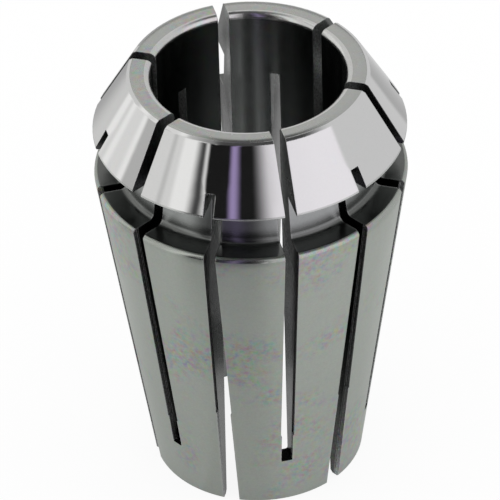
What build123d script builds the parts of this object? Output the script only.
from build123d import *
import math
import os

os.makedirs("parts", exist_ok=True)

# Frame: origin at the centre of the rear end, +Z along the axis towards the nose, sizes in mm.

# Length and diameters; the groove is measured at its ledge, and the wall at the rear end gives the 13 mm bore
total_length = 31.5
nose_diameter = 21.0
shoulder_over_nose = 0.075
groove_diameter = 17.5
rear_wall = 0.7231

# Nose cone, groove with its wall leaning in under the nose, and long taper
nose_length = 4.5
nose_angle = 30.0
nose_land = 0.2
groove_width = 3.15
groove_wall_angle = 9.0
taper_angle = 8.0

# Small edges
mouth_round = 0.43
face_edge_chamfer = 0.16
nose_edge_chamfer = 0.08
groove_bottom_round = 0.45
shoulder_round = 0.28
rear_edge_chamfer = 0.1
rear_bore_chamfer = 0.2

# Slots: one set is cut from the nose, the other from the rear end, halfway between the first
slots_per_end = 6
first_nose_slot_angle = 43.9
nose_slot_width = 0.78
nose_slot_web = 3.9
rear_slot_width_at_shoulder = 0.66
rear_slot_width_at_rear = 1.12
rear_slot_web_on_cone = 3.0
rear_slot_web_in_bore = 4.9
slot_corner_round = 0.14
cutter_overrun = 2.0

# Shallow wider cut along the mouth of each slot on the long taper
relief_extra_width = 0.14
relief_depth = 0.35
nose_slot_relief_above_end = 2.45
rear_slot_relief_above_rear = 8.7

# Derived sizes
nose_radius = nose_diameter / 2
shoulder_radius = nose_radius + shoulder_over_nose
groove_radius = groove_diameter / 2
groove_top = total_length - nose_length
groove_bottom = groove_top - groove_width
groove_top_radius = groove_radius - groove_width * math.tan(math.radians(groove_wall_angle))
cone_bottom = groove_top + nose_land
cone_slope = math.tan(math.radians(nose_angle))
face_radius = nose_radius - (total_length - cone_bottom) * cone_slope
taper_slope = math.tan(math.radians(taper_angle))
rear_radius = shoulder_radius - groove_bottom * taper_slope
bore_radius = rear_radius - rear_wall
slot_start = bore_radius - cutter_overrun
slot_reach = max(shoulder_radius, nose_radius) + cutter_overrun
slot_top = total_length + cutter_overrun
relief_top = groove_bottom + groove_width / 3
slot_spacing = 360.0 / slots_per_end

# The saw leaves the end of a rear slot climbing from the bore to the nose cone
rear_slot_top = total_length - rear_slot_web_in_bore
rear_slot_end_radius = face_radius + rear_slot_web_on_cone * cone_slope
end_rise = rear_slot_web_in_bore - rear_slot_web_on_cone
end_slope = end_rise / (rear_slot_end_radius - bore_radius)


def taper_radius(height):
    return rear_radius + height * taper_slope


def slot_end_height(radius):
    return rear_slot_top + (radius - bore_radius) * end_slope


def slab_outline(bottom, width_at_bottom, top, width_at_top):
    return [
        (-width_at_bottom / 2, bottom),
        (width_at_bottom / 2, bottom),
        (width_at_top / 2, top),
        (-width_at_top / 2, top),
    ]


def relief_outline(bottom):
    return [
        (taper_radius(bottom) - relief_depth, bottom),
        (slot_reach, bottom),
        (slot_reach, relief_top),
        (taper_radius(relief_top) - relief_depth, relief_top),
    ]


# One slot of the nose set: straight sides and a square blind end with small corner rounds
with BuildPart() as nose_slot:
    with BuildSketch(Plane.YZ.offset(slot_start)) as nose_slot_sketch:
        with BuildLine():
            Polyline(
                *slab_outline(nose_slot_web, nose_slot_width, slot_top, nose_slot_width),
                close=True,
            )
        make_face()
        fillet(nose_slot_sketch.vertices().group_by(Axis.Y)[0], radius=slot_corner_round)
    extrude(amount=slot_reach - slot_start)

# Its relief, parallel to the taper
with BuildPart() as nose_slot_relief:
    with BuildSketch(Plane.XZ):
        with BuildLine():
            Polyline(*relief_outline(nose_slot_web + nose_slot_relief_above_end), close=True)
        make_face()
    extrude(amount=(nose_slot_width + relief_extra_width) / 2, both=True)

# One slot of the rear set: it spreads towards the rear end and stops under the nose face
with BuildPart() as rear_slot:
    with BuildSketch(Plane.YZ.offset(slot_start)):
        with BuildLine():
            Polyline(
                (-rear_slot_width_at_rear / 2, -cutter_overrun),
                (rear_slot_width_at_rear / 2, -cutter_overrun),
                (rear_slot_width_at_rear / 2, 0.0),
                (rear_slot_width_at_shoulder / 2, groove_bottom),
                (rear_slot_width_at_shoulder / 2, slot_top),
                (-rear_slot_width_at_shoulder / 2, slot_top),
                (-rear_slot_width_at_shoulder / 2, groove_bottom),
                (-rear_slot_width_at_rear / 2, 0.0),
                close=True,
            )
        make_face()
    extrude(amount=slot_reach - slot_start)
    with BuildSketch(Plane.XZ):
        with BuildLine():
            Polyline(
                (slot_start - cutter_overrun, slot_end_height(slot_start - cutter_overrun)),
                (slot_reach + cutter_overrun, slot_end_height(slot_reach + cutter_overrun)),
                (slot_reach + cutter_overrun, slot_top + cutter_overrun),
                (slot_start - cutter_overrun, slot_top + cutter_overrun),
                close=True,
            )
        make_face()
    extrude(amount=cutter_overrun, both=True, mode=Mode.SUBTRACT)
    sloped_end = rear_slot.faces().sort_by(Axis.Z)[-1]
    end_corners = sloped_end.edges().filter_by(Axis.Y, reverse=True)
    fillet(end_corners, radius=slot_corner_round)

# Its relief, following the spread of the slot
with BuildPart() as rear_slot_relief:
    with BuildSketch(Plane.YZ.offset(slot_start)):
        with BuildLine():
            Polyline(
                *slab_outline(
                    0.0,
                    rear_slot_width_at_rear + relief_extra_width,
                    groove_bottom,
                    rear_slot_width_at_shoulder + relief_extra_width,
                ),
                close=True,
            )
        make_face()
    extrude(amount=slot_reach - slot_start)
    with BuildSketch(Plane.XZ):
        with BuildLine():
            Polyline(*relief_outline(rear_slot_relief_above_rear), close=True)
        make_face()
    extrude(amount=cutter_overrun, both=True, mode=Mode.INTERSECT)


def section_corner(radius, height):
    return section.vertices().sort_by_distance((radius, height))[0]


# The collet: the turned and ground blank first, then both sets of slots
with BuildPart() as collet:
    with BuildSketch(Plane.XZ) as section:
        with BuildLine():
            Polyline(
                (bore_radius, 0.0),
                (rear_radius, 0.0),
                (shoulder_radius, groove_bottom),
                (groove_radius, groove_bottom),
                (groove_top_radius, groove_top),
                (nose_radius, groove_top),
                (nose_radius, cone_bottom),
                (face_radius, total_length),
                (bore_radius, total_length),
                close=True,
            )
        make_face()
        chamfer(section_corner(bore_radius, 0.0), length=rear_bore_chamfer)
        chamfer(section_corner(rear_radius, 0.0), length=rear_edge_chamfer)
        fillet(section_corner(shoulder_radius, groove_bottom), radius=shoulder_round)
        fillet(section_corner(groove_radius, groove_bottom), radius=groove_bottom_round)
        chamfer(section_corner(nose_radius, groove_top), length=nose_edge_chamfer)
        chamfer(section_corner(face_radius, total_length), length=face_edge_chamfer)
        fillet(section_corner(bore_radius, total_length), radius=mouth_round)
    revolve(axis=Axis.Z)
    with PolarLocations(0, slots_per_end, start_angle=first_nose_slot_angle):
        add(nose_slot.part, mode=Mode.SUBTRACT)
        add(nose_slot_relief.part, mode=Mode.SUBTRACT)
    with PolarLocations(0, slots_per_end, start_angle=first_nose_slot_angle + slot_spacing / 2):
        add(rear_slot.part, mode=Mode.SUBTRACT)
        add(rear_slot_relief.part, mode=Mode.SUBTRACT)

collet.part.label = "collet"
print("solids", len(collet.part.solids()), "valid", collet.part.is_valid)
print("volume", round(collet.part.volume, 1), "bore diameter", round(2 * bore_radius, 3))
export_step(collet.part, "parts/collet.step")
